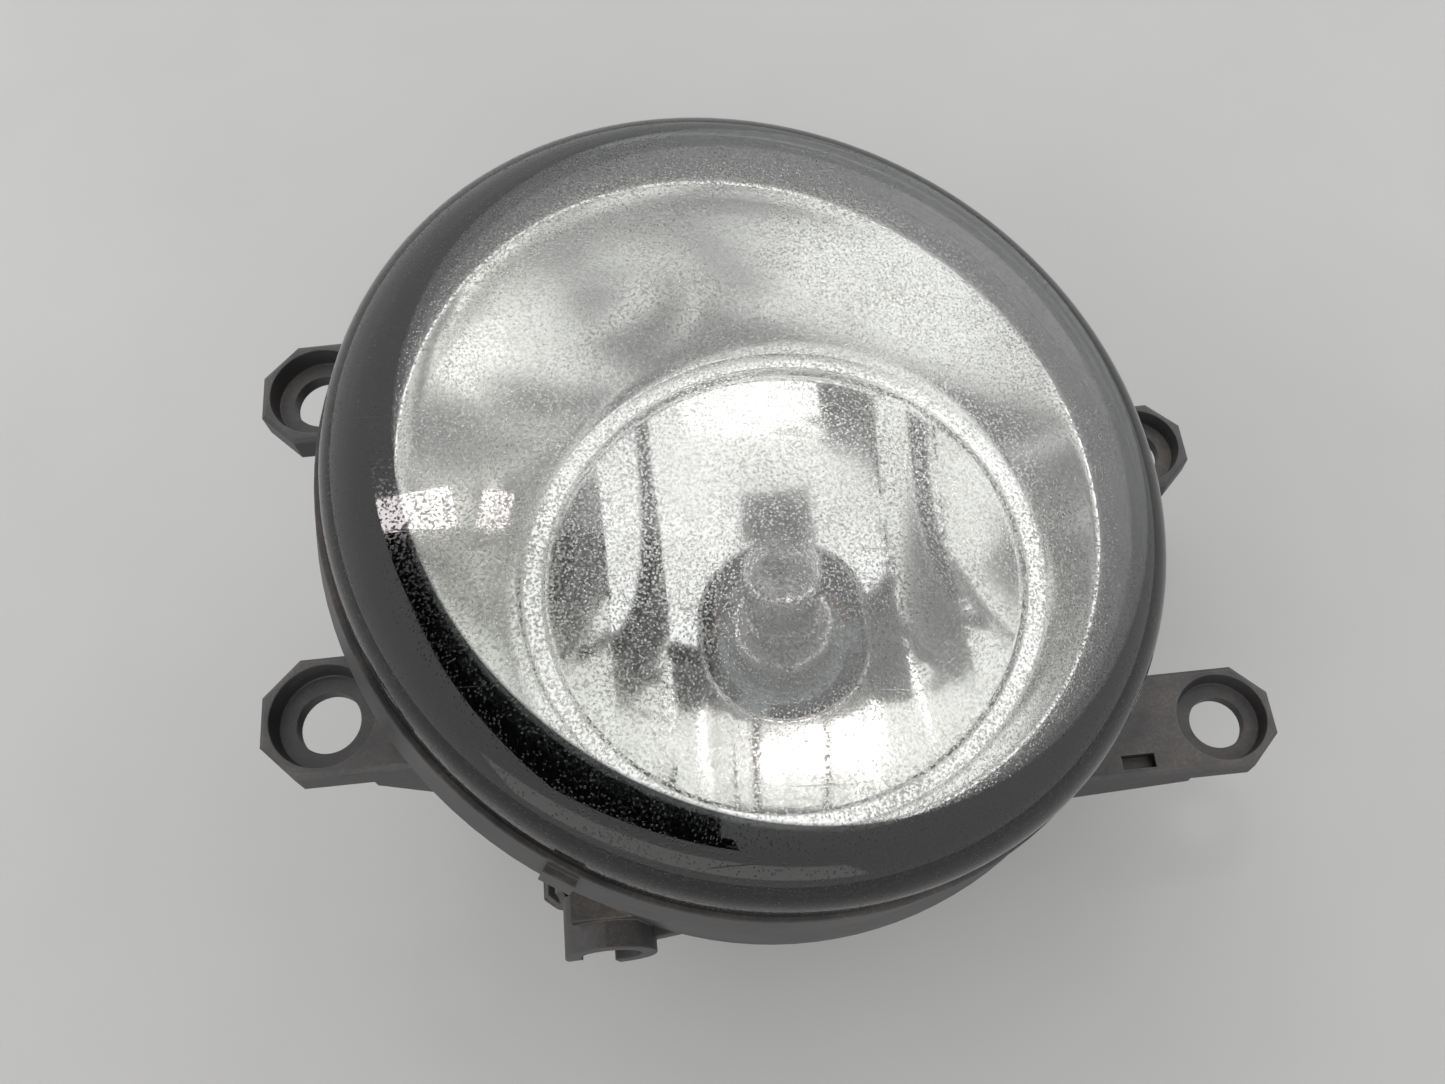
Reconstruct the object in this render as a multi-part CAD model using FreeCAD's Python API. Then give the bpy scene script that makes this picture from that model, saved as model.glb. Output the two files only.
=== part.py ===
"""Round bumper-mounted fog light with an internally aimed reflector and a twist-in bulb.

The lamp lies on its back: +Z is the optical axis, pointing out through the lens, +X is the side
that is set back in the bumper and +Y is the top. The origin is on the optical axis, midway in depth
between the seats of the left and the right mounting ears. Millimetres.
"""
import FreeCAD, Part
import math
import os

V = FreeCAD.Vector
os.makedirs("parts", exist_ok=True)

X_AXIS = V(1, 0, 0)
Y_AXIS = V(0, 1, 0)
Z_AXIS = V(0, 0, 1)

# Lens and its frame: the rim circle is swept round the car's corner and leans a little
lens_sweep = 16.0
lens_lean = 2.0
rim_centre = V(-1.5, 0.8, 31.0)
rim_r = 53.8
glass_t = 3.0
shoulder_r = 7.0
shoulder_slope = 11.0
skirt_h = 3.2
foot_h = 4.4
foot_inner_r = 51.85
foot_outer_r = 52.95

# Housing
lip_gap = 0.4
lip_inner_r = 50.6
groove_inner_r = 51.6
groove_outer_r = 53.2
flange_r = 54.4
groove_floor_w = -9.0
flange_foot_w = -11.5
wall_t = 2.2
waist_r = 51.0
waist_z = -8.0
waist_centre = V(-2.0, 0.5, waist_z)
heel_r = 46.0
heel_z = -25.0
back_r = 39.0
back_z = -32.0
back_t = 2.5

# Mounting ears
ear_half = 7.9
ear_t = 5.0
ear_chamfer = 0.6
ear_left_z = 21.0
ear_right_z = -21.0
ear_hole_r = 4.1
ear_seat_r = 6.8
ear_seat_floor_r = 6.3
ear_seat_depth = 2.9
ears = {
    "left_lower": V(-59.8, -21.5, ear_left_z),
    "left_upper": V(-62.0, 26.4, ear_left_z),
    "right_lower": V(65.2, -21.5, ear_right_z),
    "right_upper": V(63.0, 26.4, ear_right_z),
}

# Reflector: a paraboloid about the optical axis, a ledge, and a skirt that opens to the lens
apex_z = -20.0
focal = 16.0
bowl_r = 34.8
ledge_step = 1.2
ledge_r = 37.6
shell_t = 2.0
skirt_t = 1.0
reflector_rim_r = 46.0
reflector_rim_w = -5.5
reflector_rim_shift = V(1.5, 2.0, 0)
bulb_opening_half_w = 12.6
bulb_opening_low_y = -16.5
bulb_opening_high_y = 13.5

# Tilt pivot: a pin in each side wall and a bush in each reflector lug
pivot_z = 0.0
pin_r = 2.5
pin_inner_x = 40.0
pin_outer_x = 48.6
pivot_face_x = 45.4
lug_r = 5.4
lug_bore_x = 39.3
lug_outer_x = 43.6
bush_r = 3.9

# Aiming adjuster: a toothed wheel and screw along Y, driven through the guide tube beside it
adjuster_x = -33.2
adjuster_z = -16.0
wheel_low_y = -40.9
wheel_high_y = -36.2
wheel_tip_r = 5.4
wheel_root_r = 3.8
tooth_count = 12
thread_pitch = 0.8
thread_r = 2.5
journal_r = 2.9
boss_r = 6.0
boss_end_y = -28.0
o_ring_seat_r = 4.8
screw_end_y = -13.5
spline_r = 2.2
spline_inset = 1.5
clip_groove_r = 2.3
clip_r = 4.1
washer_r = 5.2
nut_low_y = -24.6
nut_high_y = -17.6
nut_r = 4.2
nut_flat = 3.2
fork_low_y = -21.9
fork_t = 1.6
fork_play = 0.35
fork_half_slot = 3.4
fork_half_w = 4.6
rivet_places = (-24.4, -18.4)
rivet_z = -17.3
rivet_r = 1.4
rivet_depth = 6.0
rivet_head_r = 2.5
rivet_head_t = 1.1
tube_x = -28.8
tube_z = -10.0
tube_r = 6.3
tube_bore_r = 4.2
tube_mouth_y = -49.2
tube_end_y = wheel_low_y - 0.4
driver_room_r = 4.9
pocket_floor_y = -35.5
far_y = -62.0

# Bulb, held by three bayonet lugs in the housing's back wall
socket_r = 10.8
lug_slot_r = 13.2
bayonet_r = 12.8
bayonet_width_deg = 26.0
bayonet_turn_deg = 30.0
pilot_r = 10.5
neck_r = 17.6
neck_bore_r = 14.8
neck_end_z = -40.0
capsule_r = 5.75
capsule_tip_z = 7.0
filament_z = apex_z + focal
bulb_flange_r = 14.0
flange_low_z = -37.2
flange_high_z = -34.8
lug_t = 2.0
bulb_face_z = back_z + back_t + 0.1 + lug_t
collar_r = 8.4
collar_t = 0.8
collar_floor_z = bulb_face_z - 2.5
cement_r = 7.0
shroud_half_w = 9.2
shroud_mouth_y = -26.0
shroud_low_z = -51.0
shroud_high_z = -40.6
recess_floor_y = -12.0
blade_places = (-3.0, 3.0)
blade_z = -45.8
blade_t = 0.8
blade_half_w = 1.4
blade_tip_y = -20.5
blade_root_y = -6.0
filament_turns = 9
filament_pitch = 0.56
coil_r = 0.75
filament_wire_r = 0.14
pinch_top_z = -15.0

# Breathers on the back wall
breathers = [V(0, 31, back_z), V(26.5, -17.5, back_z)]
spigot_r = 4.0
spigot_bore_r = 2.3
spigot_h = 6.5
cap_r = 5.6
cap_h = 7.4
filter_h = 5.0
back_rib_half_t = 0.9

lens_turn = FreeCAD.Rotation(X_AXIS, lens_lean).multiply(FreeCAD.Rotation(Y_AXIS, lens_sweep))
lens_frame = FreeCAD.Placement(rim_centre, lens_turn)


def save(shape, node):
    """Write one piece, after a check that it is sound."""
    solids = shape.Solids
    shape = solids[0] if len(solids) == 1 else Part.makeCompound(solids)
    print(node, "solids", len(solids), "valid", shape.isValid(), "mm3 %.0f" % shape.Volume)
    shape.exportStep("parts/%s.step" % node)


def outline(start, *steps):
    """Closed face in the XZ plane: a step is an end point, or a middle and an end of an arc."""
    edges = []
    here = V(start[0], 0, start[1])
    for step in steps + (start,):
        if isinstance(step[0], tuple):
            middle = V(step[0][0], 0, step[0][1])
            there = V(step[1][0], 0, step[1][1])
            edges.append(Part.Arc(here, middle, there).toShape())
        else:
            there = V(step[0], 0, step[1])
            if here.distanceToPoint(there) > 1e-6:
                edges.append(Part.LineSegment(here, there).toShape())
        here = there
    return Part.Face(Part.Wire(edges))


def turned(start, *steps):
    """Solid of revolution about Z, from an outline of radii and heights."""
    return outline(start, *steps).revolve(V(0, 0, 0), Z_AXIS, 360)


def in_lens_frame(shape):
    """Carry a shape made about Z to the swept lens frame."""
    shape.Placement = lens_frame.multiply(shape.Placement)
    return shape


def box(x0, x1, y0, y1, z0, z1):
    """Box between two corners."""
    return Part.makeBox(x1 - x0, y1 - y0, z1 - z0, V(x0, y0, z0))


def rod(x, z, radius, y0, y1):
    """Cylinder along Y."""
    return Part.makeCylinder(radius, y1 - y0, V(x, y0, z), Y_AXIS)


def tilted_circle(radius, w, shift=V(0, 0, 0)):
    """Circle parallel to the lens rim, w above it."""
    wire = Part.Wire(Part.Circle(V(shift.x, shift.y, w), Z_AXIS, radius).toShape())
    wire.Placement = lens_frame
    return wire


def level_circle(radius, centre):
    """Circle square to the optical axis."""
    return Part.Wire(Part.Circle(centre, Z_AXIS, radius).toShape())


def between(low_wire, high_wire):
    """Straight-sided solid between two circles."""
    return Part.makeLoft([low_wire, high_wire], True, True)


def bowl(inset, top_w):
    """Filled bowl of the housing, inset from its outer skin, up to a plane parallel to the rim."""
    top = tilted_circle(flange_r - 1.2 - inset, top_w)
    waist = level_circle(waist_r - inset, waist_centre)
    heel = level_circle(heel_r - inset, V(0, 0, heel_z))
    back = level_circle(back_r - inset, V(0, 0, back_z + (back_t if inset else 0)))
    upper = between(waist, top)
    middle = between(heel, waist)
    lower = between(back, heel)
    return upper.fuse(middle).fuse(lower)


def softened(shape, wanted):
    """Chamfer the edges that a test picks out."""
    return shape.makeChamfer(ear_chamfer, [edge for edge in shape.Edges if wanted(edge)])


def octagon(centre, half, height):
    """Octagonal prism standing on centre, its top and bottom edges chamfered."""
    corner_r = half / math.cos(math.pi / 8)
    corners = []
    for step in range(9):
        angle = math.pi / 8 + step * math.pi / 4
        corners.append(centre + V(corner_r * math.cos(angle), corner_r * math.sin(angle), 0))
    prism = Part.Face(Part.makePolygon(corners)).extrude(V(0, 0, height))
    return softened(prism, lambda edge: edge.BoundBox.ZLength < height / 2)


def ear_arm(seat):
    """One ear: octagonal end, flat arm in to the bowl, and two ribs under the arm."""
    side = -1 if seat.x < 0 else 1
    low_z = seat.z - ear_t
    root_x = side * (46.0 if side < 0 else 38.0)
    body = octagon(V(seat.x, seat.y, low_z), ear_half, ear_t)
    x0, x1 = sorted((seat.x, root_x))
    arm = box(x0, x1, seat.y - ear_half, seat.y + ear_half, low_z, seat.z)
    body = body.fuse(softened(arm, lambda edge: edge.BoundBox.XLength > ear_half))
    rib_t = 1.8
    rib_drop = 9.0 if side < 0 else 5.0
    rib_tip_x = seat.x - side * 5.5
    for rib_y in (seat.y - ear_half, seat.y + ear_half - rib_t):
        corners = [V(rib_tip_x, rib_y, low_z + 0.5), V(root_x, rib_y, low_z + 0.5),
                   V(root_x, rib_y, low_z - rib_drop), V(rib_tip_x, rib_y, low_z - 1.0),
                   V(rib_tip_x, rib_y, low_z + 0.5)]
        body = body.fuse(Part.Face(Part.makePolygon(corners)).extrude(V(0, rib_t, 0)))
    return body


def ear_hole(seat):
    """Counterbored hole of an ear, with a small mould pocket where the arm meets the bowl."""
    side = -1 if seat.x < 0 else 1
    hole = Part.makeCylinder(ear_hole_r, 30, V(seat.x, seat.y, seat.z - 15), Z_AXIS)
    seat_cut = Part.makeCone(ear_seat_floor_r, ear_seat_r, ear_seat_depth,
                             V(seat.x, seat.y, seat.z - ear_seat_depth), Z_AXIS)
    pocket_x = seat.x - side * 11.5
    x0, x1 = sorted((pocket_x, pocket_x - side * 5.0))
    pocket = box(x0, x1, seat.y - ear_half + 1.2, seat.y - ear_half + 3.4, seat.z - 2.0, seat.z + 1)
    return hole.fuse(seat_cut).fuse(pocket)


def lens_channel():
    """Flange with the groove that the lens foot is bonded in."""
    lip_top_w = -skirt_h - lip_gap
    ring = turned((lip_inner_r, flange_foot_w), (flange_r, flange_foot_w),
                  (flange_r, lip_top_w), (groove_outer_r, lip_top_w),
                  (groove_outer_r, groove_floor_w), (groove_inner_r, groove_floor_w),
                  (groove_inner_r, lip_top_w), (lip_inner_r, lip_top_w))
    for angle in (-6.0, -15.0, 60.0, 150.0, 240.0):
        tab = box(flange_r - 0.5, flange_r + 1.0, -2.0, 2.0, -9.5, -5.0)
        tab.rotate(V(0, 0, 0), Z_AXIS, angle)
        ring = ring.fuse(tab)
    return in_lens_frame(ring)


def adjuster_pocket(wall):
    """Space round the aiming wheel, grown by a wall thickness for the housing's inside."""
    left, right = adjuster_x - 8.3, adjuster_x + 8.7
    low, high = adjuster_z - 8.5, adjuster_z + 7.6
    wheel_room = box(left - wall, right + wall, far_y, pocket_floor_y + wall,
                     low - wall, high + wall)
    driver_room = rod(tube_x, tube_z, driver_room_r + wall, far_y, pocket_floor_y + wall)
    return wheel_room.fuse(driver_room)


def guide_tube():
    """Screwdriver guide tube with its web."""
    body = rod(tube_x, tube_z, tube_r, tube_mouth_y, tube_end_y)
    web_z = tube_z - 1.0
    web_root_y = -40.0
    corners = [V(tube_x, tube_mouth_y + 1.0, web_z), V(-14.0, tube_mouth_y + 2.6, web_z),
               V(-8.0, web_root_y, web_z), V(tube_x, web_root_y, web_z),
               V(tube_x, tube_mouth_y + 1.0, web_z)]
    web = Part.Face(Part.makePolygon(corners)).extrude(V(0, 0, wall_t))
    saddle = box(tube_x - 4.5, tube_x + 4.5, tube_end_y - 4.2, tube_end_y - 0.1,
                 tube_z + 3.0, tube_z + 7.0)
    return body.fuse(web).fuse(saddle)


def bulb_socket():
    """Hole and three bayonet slots in the back wall."""
    cut = Part.makeCylinder(socket_r, 12, V(0, 0, back_z - 4))
    slot_deg = bayonet_width_deg + 8.0
    for index in range(3):
        start = 120.0 * index + bayonet_turn_deg - slot_deg / 2
        slot = Part.makeCylinder(lug_slot_r, 12, V(0, 0, back_z - 4), Z_AXIS, slot_deg)
        slot.rotate(V(0, 0, 0), Z_AXIS, start)
        cut = cut.fuse(slot)
    return cut


def housing():
    """Black moulded housing, in one piece with its ears, guide tube, bosses and bulb neck."""
    body = bowl(0, groove_floor_w - 0.5)
    body = body.fuse(guide_tube())
    for seat in ears.values():
        body = body.fuse(ear_arm(seat))
    body = body.fuse(Part.makeCylinder(neck_r, back_z + 1 - neck_end_z, V(0, 0, neck_end_z)))
    for angle in range(50, 410, 60):
        rib = box(neck_r - 1, back_r - 4, -back_rib_half_t, back_rib_half_t, back_z - 3.5, back_z + 1)
        rib.rotate(V(0, 0, 0), Z_AXIS, angle)
        body = body.fuse(rib)
    for spot in breathers:
        body = body.fuse(Part.makeCylinder(spigot_r, spigot_h + 1, spot - V(0, 0, spigot_h)))
    right_boss = Part.makeCylinder(lug_r - 0.4, 5.5, V(pivot_face_x, 0, pivot_z), X_AXIS)
    body = body.fuse(right_boss)
    body = body.cut(adjuster_pocket(0).cut(rod(tube_x, tube_z, tube_r, far_y, tube_end_y)))

    cavity = bowl(wall_t, groove_floor_w + 1.0)
    cavity = cavity.cut(adjuster_pocket(wall_t))
    for side in (-1, 1):
        x0, x1 = sorted((side * pivot_face_x, side * 60.0))
        boss = Part.makeCylinder(5.5, x1 - x0, V(x0, 0, pivot_z), X_AXIS)
        cavity = cavity.cut(boss)
    cavity = cavity.cut(rod(adjuster_x, adjuster_z, boss_r, -60, boss_end_y))
    body = body.cut(cavity)
    body = body.fuse(lens_channel())
    mouth = in_lens_frame(Part.makeCylinder(lip_inner_r, 30, V(0, 0, flange_foot_w - 0.01)))
    body = body.cut(mouth)

    for seat in ears.values():
        body = body.cut(ear_hole(seat))
    body = body.cut(rod(tube_x, tube_z, tube_bore_r, far_y, tube_end_y + 0.1))
    body = body.cut(rod(adjuster_x, adjuster_z, journal_r + 0.05, far_y, boss_end_y + 1))
    body = body.cut(rod(adjuster_x, adjuster_z, o_ring_seat_r, far_y, pocket_floor_y + 2.0))
    body = body.cut(Part.makeCylinder(neck_bore_r, back_z - neck_end_z, V(0, 0, neck_end_z)))
    body = body.cut(bulb_socket())
    for spot in breathers:
        body = body.cut(Part.makeCylinder(spigot_bore_r, 20, spot - V(0, 0, 12)))
    for side in (-1, 1):
        x0, x1 = sorted((side * pin_inner_x, side * pin_outer_x))
        body = body.cut(Part.makeCylinder(pin_r, x1 - x0, V(x0, 0, pivot_z), X_AXIS))
    return body


def front_lens():
    """Pressed glass: dome, rounded shoulder, short skirt and the foot that is bonded in."""
    slope = math.radians(shoulder_slope)
    mid = (math.pi / 2 + slope) / 2
    centre_r = rim_r - shoulder_r

    def shoulder(radius, angle):
        return (centre_r + radius * math.sin(angle), radius * math.cos(angle))

    def dome(radius, angle):
        centre_w = shoulder(shoulder_r, slope)[1] - dome_r * math.cos(slope)
        return (radius * math.sin(angle), centre_w + radius * math.cos(angle))

    dome_r = shoulder(shoulder_r, slope)[0] / math.sin(slope)
    inner_r = shoulder_r - glass_t
    inner_dome_r = dome_r - glass_t
    foot_w = -skirt_h - foot_h
    glass = turned(
        dome(dome_r, 0),
        (dome(dome_r, slope / 2), dome(dome_r, slope)),
        (shoulder(shoulder_r, mid), (rim_r, 0)),
        (rim_r, -skirt_h), (foot_outer_r, -skirt_h), (foot_outer_r, foot_w),
        (foot_inner_r, foot_w), (foot_inner_r, -skirt_h), (centre_r + inner_r, -skirt_h),
        (centre_r + inner_r, 0),
        (shoulder(inner_r, mid), shoulder(inner_r, slope)),
        (dome(inner_dome_r, slope / 2), dome(inner_dome_r, 0)))
    return in_lens_frame(glass)


def lens_sealant():
    """Bead of sealant that fills the channel round the lens foot."""
    top_w = -skirt_h - lip_gap - 0.6
    foot_w = -skirt_h - foot_h
    bead = turned((groove_inner_r, groove_floor_w), (groove_outer_r, groove_floor_w),
                  (groove_outer_r, top_w), (foot_outer_r, top_w), (foot_outer_r, foot_w),
                  (foot_inner_r, foot_w), (foot_inner_r, top_w), (groove_inner_r, top_w))
    return in_lens_frame(bead)


def dish(radius, offset):
    """Height of the reflector bowl at a radius, moved down by the shell thickness."""
    return apex_z + radius * radius / (4 * focal) - offset


def bowl_arc(radius, offset):
    """Middle and end of the bowl's curve, from the apex to a radius."""
    return ((radius * 0.55, dish(radius * 0.55, offset)), (radius, dish(radius, offset)))


def reflector():
    """Bright metallised reflector with lugs for its bushes and a pad for the adjuster fork."""
    ledge_z = dish(bowl_r, 0) + ledge_step
    skin_r = ledge_r + shell_t
    low = ledge_z - shell_t - 1.5
    outside = turned((0, dish(0, shell_t)), bowl_arc(bowl_r + 1.0, shell_t), (skin_r, low),
                     (skin_r, ledge_z), (0, ledge_z))
    outer_skirt = between(level_circle(skin_r, V(0, 0, ledge_z)),
                          tilted_circle(reflector_rim_r + skirt_t, reflector_rim_w,
                                        reflector_rim_shift))
    pad = box(-26.5, -14.5, fork_low_y + fork_t, -10.0, -22.0, -4.0)
    lugs = Part.makeCylinder(lug_r, 2 * lug_outer_x, V(-lug_outer_x, 0, pivot_z), X_AXIS)
    body = outside.fuse(outer_skirt).fuse(pad).fuse(lugs)

    inside = turned((0, dish(0, 0)), bowl_arc(bowl_r, 0), (bowl_r, ledge_z),
                    (ledge_r, ledge_z + 0.6), (ledge_r, ledge_z + 2.0), (0, ledge_z + 2.0))
    opening = between(level_circle(ledge_r, V(0, 0, ledge_z + 0.6)),
                      tilted_circle(reflector_rim_r, reflector_rim_w + 0.02, reflector_rim_shift))
    body = body.cut(inside).cut(opening)

    half_w = bulb_opening_half_w
    hole = Part.makeCylinder(half_w, 40, V(0, bulb_opening_low_y + half_w, apex_z - 20))
    hole = hole.fuse(Part.makeCylinder(half_w, 40, V(0, bulb_opening_high_y - half_w, apex_z - 20)))
    hole = hole.fuse(box(-half_w, half_w, bulb_opening_low_y + half_w,
                         bulb_opening_high_y - half_w, apex_z - 20, apex_z + 20))
    body = body.cut(hole)
    for side in (-1, 1):
        x0, x1 = sorted((side * lug_bore_x, side * 60.0))
        body = body.cut(Part.makeCylinder(bush_r, x1 - x0, V(x0, 0, pivot_z), X_AXIS))
    for x in rivet_places:
        body = body.cut(rod(x, rivet_z, rivet_r, fork_low_y, fork_low_y + rivet_depth))
    return body.removeSplitter()


def pivot_pins():
    """Two steel pins, pressed into the housing's side walls."""
    pins = []
    for side in (-1, 1):
        x0, x1 = sorted((side * pin_inner_x, side * pin_outer_x))
        pins.append(Part.makeCylinder(pin_r, x1 - x0, V(x0, 0, pivot_z), X_AXIS))
    return Part.makeCompound(pins)


def pivot_bushes():
    """Two moulded bushes in the reflector lugs."""
    bushes = []
    for side in (-1, 1):
        x0, x1 = sorted((side * lug_bore_x, side * lug_outer_x))
        shell = Part.makeCylinder(bush_r, x1 - x0, V(x0, 0, pivot_z), X_AXIS)
        x2, x3 = sorted((side * lug_outer_x, side * (lug_outer_x + 0.9)))
        shell = shell.fuse(Part.makeCylinder(bush_r + 1.2, x3 - x2, V(x2, 0, pivot_z), X_AXIS))
        bore_x0, bore_x1 = sorted((side * (pin_inner_x - 0.2), side * 60.0))
        shell = shell.cut(Part.makeCylinder(pin_r + 0.06, bore_x1 - bore_x0,
                                            V(bore_x0, 0, pivot_z), X_AXIS))
        bushes.append(shell)
    return Part.makeCompound(bushes)


def adjuster_wheel():
    """Toothed wheel: deep square teeth, bevelled at the driver's end, on a hub."""
    body = rod(adjuster_x, adjuster_z, wheel_root_r, wheel_low_y, wheel_high_y)
    tooth_w = math.pi * (wheel_root_r + wheel_tip_r) / tooth_count * 0.52
    for index in range(tooth_count):
        corners = [V(0, wheel_low_y + 1.3, 0), V(wheel_root_r, wheel_low_y, 0),
                   V(wheel_tip_r, wheel_low_y + 1.3, 0), V(wheel_tip_r, wheel_high_y - 0.5, 0),
                   V(wheel_tip_r - 0.5, wheel_high_y, 0), V(0, wheel_high_y, 0),
                   V(0, wheel_low_y + 1.3, 0)]
        tooth = Part.Face(Part.makePolygon(corners)).extrude(V(0, 0, tooth_w))
        tooth.translate(V(0, 0, -tooth_w / 2))
        tooth.rotate(V(0, 0, 0), Y_AXIS, 360.0 * index / tooth_count)
        tooth.translate(V(adjuster_x, 0, adjuster_z))
        body = body.fuse(tooth)
    body = body.cut(rod(adjuster_x, adjuster_z, spline_r, wheel_low_y + spline_inset, far_y * -1))
    return body.removeSplitter()


def adjuster_screw():
    """Steel screw: splined end in the wheel, plain journal in the boss, and the thread."""
    end_of_journal = boss_end_y + 2.0
    body = rod(adjuster_x, adjuster_z, spline_r, wheel_low_y + spline_inset, wheel_high_y)
    body = body.fuse(rod(adjuster_x, adjuster_z, journal_r, wheel_high_y, end_of_journal))
    body = body.fuse(rod(adjuster_x, adjuster_z, thread_r, end_of_journal, screw_end_y))
    return body.cut(clip_ring(boss_r))


def clip_ring(outer_r):
    """Ring round the screw where the retaining clip sits, just past the boss."""
    ring = rod(adjuster_x, adjuster_z, outer_r, boss_end_y + 0.1, boss_end_y + 0.9)
    return ring.cut(rod(adjuster_x, adjuster_z, clip_groove_r, far_y, 0))


def adjuster_washer():
    """Thrust washer between the wheel and the boss."""
    disc = rod(adjuster_x, adjuster_z, washer_r, wheel_high_y + 0.05, pocket_floor_y - 0.02)
    return disc.cut(rod(adjuster_x, adjuster_z, journal_r + 0.08, far_y, 0))


def adjuster_o_ring():
    """Seal round the journal, in the counterbore of the boss."""
    cord_r = 0.85
    mid_r = (journal_r + o_ring_seat_r) / 2
    return Part.makeTorus(mid_r, cord_r, V(adjuster_x, pocket_floor_y + 1.0, adjuster_z), Y_AXIS)


def adjuster_clip():
    """Open retaining ring in the journal's groove."""
    half_gap = 1.6
    gap = box(adjuster_x - half_gap, adjuster_x + half_gap, far_y, 0, adjuster_z - 6, adjuster_z)
    return clip_ring(clip_r).cut(gap)


def adjuster_nut():
    """Moulded nut with a flat-sided groove for the fork."""
    body = rod(adjuster_x, adjuster_z, nut_r, nut_low_y, nut_high_y)
    fork_mid_y = fork_low_y + fork_t / 2
    half_groove = fork_t / 2 + fork_play
    reach = 2 * nut_r
    groove = box(adjuster_x - reach, adjuster_x + reach, fork_mid_y - half_groove,
                 fork_mid_y + half_groove, adjuster_z - reach, adjuster_z + reach)
    flats = box(adjuster_x - nut_flat, adjuster_x + nut_flat, far_y, 0,
                adjuster_z - reach, adjuster_z + reach)
    body = body.cut(groove.cut(flats))
    return body.cut(rod(adjuster_x, adjuster_z, thread_r + 0.05, far_y, 0))


def adjuster_fork():
    """Steel plate, riveted to the reflector pad, whose two fingers straddle the nut."""
    high_y = fork_low_y + fork_t
    low_z = adjuster_z - 5.5
    top_z = adjuster_z + 7.4
    slot_top_z = top_z - 1.8
    short_finger_z = adjuster_z - 3.0
    plate = box(adjuster_x - fork_half_w, adjuster_x + fork_half_w, fork_low_y, high_y,
                low_z, top_z)
    tongue = box(adjuster_x + fork_half_w - 1.0, -15.5, fork_low_y, high_y, -21.0, -13.6)
    plate = plate.fuse(tongue)
    slot = box(adjuster_x - fork_half_slot, adjuster_x + fork_half_slot, far_y, 0,
               low_z - 1, slot_top_z)
    trim = box(adjuster_x - 2 * fork_half_w, adjuster_x, far_y, 0, low_z - 1, short_finger_z)
    plate = plate.cut(slot).cut(trim)
    for x in rivet_places:
        plate = plate.cut(rod(x, rivet_z, rivet_r, far_y, 0))
    return plate.removeSplitter()


def fork_rivets():
    """Two rivets through the fork into the reflector pad."""
    rivets = []
    for x in rivet_places:
        shank = rod(x, rivet_z, rivet_r, fork_low_y, fork_low_y + rivet_depth)
        head = rod(x, rivet_z, rivet_head_r, fork_low_y - rivet_head_t, fork_low_y)
        rivets.append(shank.fuse(head))
    return Part.makeCompound(rivets)


def bulb_base():
    """Moulded bulb base: bayonet lugs, pilot, flange and the right-angled connector shroud."""
    body = Part.makeCylinder(pilot_r, bulb_face_z - flange_low_z, V(0, 0, flange_low_z))
    for index in range(3):
        lug = Part.makeCylinder(bayonet_r, lug_t, V(0, 0, bulb_face_z - lug_t), Z_AXIS,
                                bayonet_width_deg)
        lug.rotate(V(0, 0, 0), Z_AXIS, 120.0 * index - bayonet_width_deg / 2)
        body = body.fuse(lug)
    flange = Part.makeCylinder(bulb_flange_r, flange_high_z - flange_low_z, V(0, 0, flange_low_z))
    body = body.fuse(flange)
    body = body.fuse(Part.makeCylinder(12.2, 5.0, V(0, 0, flange_low_z - 4.3)))
    body = body.fuse(box(-shroud_half_w, shroud_half_w, shroud_mouth_y, 9.5,
                         shroud_low_z, shroud_high_z))
    recess_half_w = shroud_half_w - 2.0
    body = body.cut(box(-recess_half_w, recess_half_w, shroud_mouth_y - 1, recess_floor_y,
                        shroud_low_z + 1.7, shroud_high_z - 1.7))
    latch = box(-2.5, 2.5, shroud_mouth_y + 1.5, shroud_mouth_y + 7.0,
                shroud_low_z - 1.4, shroud_low_z)
    body = body.fuse(latch)
    for x in blade_places:
        body = body.cut(blade(x, recess_floor_y - 1))
    body = body.cut(Part.makeCylinder(collar_r, 3.0, V(0, 0, collar_floor_z)))
    return body.removeSplitter()


def blade(x, tip_y):
    """Terminal blade from its root in the base to a tip."""
    return box(x - blade_half_w, x + blade_half_w, tip_y, blade_root_y,
               blade_z - blade_t / 2, blade_z + blade_t / 2)


def bulb_terminals():
    """Two blades in the connector shroud."""
    return Part.makeCompound([blade(x, blade_tip_y) for x in blade_places])


def bulb_o_ring():
    """Seal between the bulb flange and the back wall."""
    cord_r = 1.34
    mid_r = 12.6
    return Part.makeTorus(mid_r, cord_r, V(0, 0, (back_z + flange_high_z) / 2), Z_AXIS)


def bulb_collar():
    """Plated steel cup that carries the capsule."""
    lip_z = -18.3
    lip_r = (collar_r + cement_r) / 2
    return turned((0, collar_floor_z), (collar_r, collar_floor_z), (collar_r, lip_z - 0.7),
                  (lip_r, lip_z), (cement_r, lip_z), (cement_r, collar_floor_z + collar_t),
                  (0, collar_floor_z + collar_t))


def bulb_cement():
    """Ceramic potting between the collar and the capsule."""
    floor_z = collar_floor_z + collar_t
    top_z = -19.6
    plug = Part.makeCylinder(cement_r, top_z - floor_z, V(0, 0, floor_z))
    return plug.cut(capsule_outside())


def capsule_outside():
    """Outer form of the glass capsule: flat pinch, round body and domed tip."""
    body = round_ended(capsule_r, pinch_top_z - 4.0, capsule_tip_z - capsule_r)
    pinch = box(-5.2, 5.2, -1.6, 1.6, -25.0, pinch_top_z - 2.5)
    return body.fuse(pinch)


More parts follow.
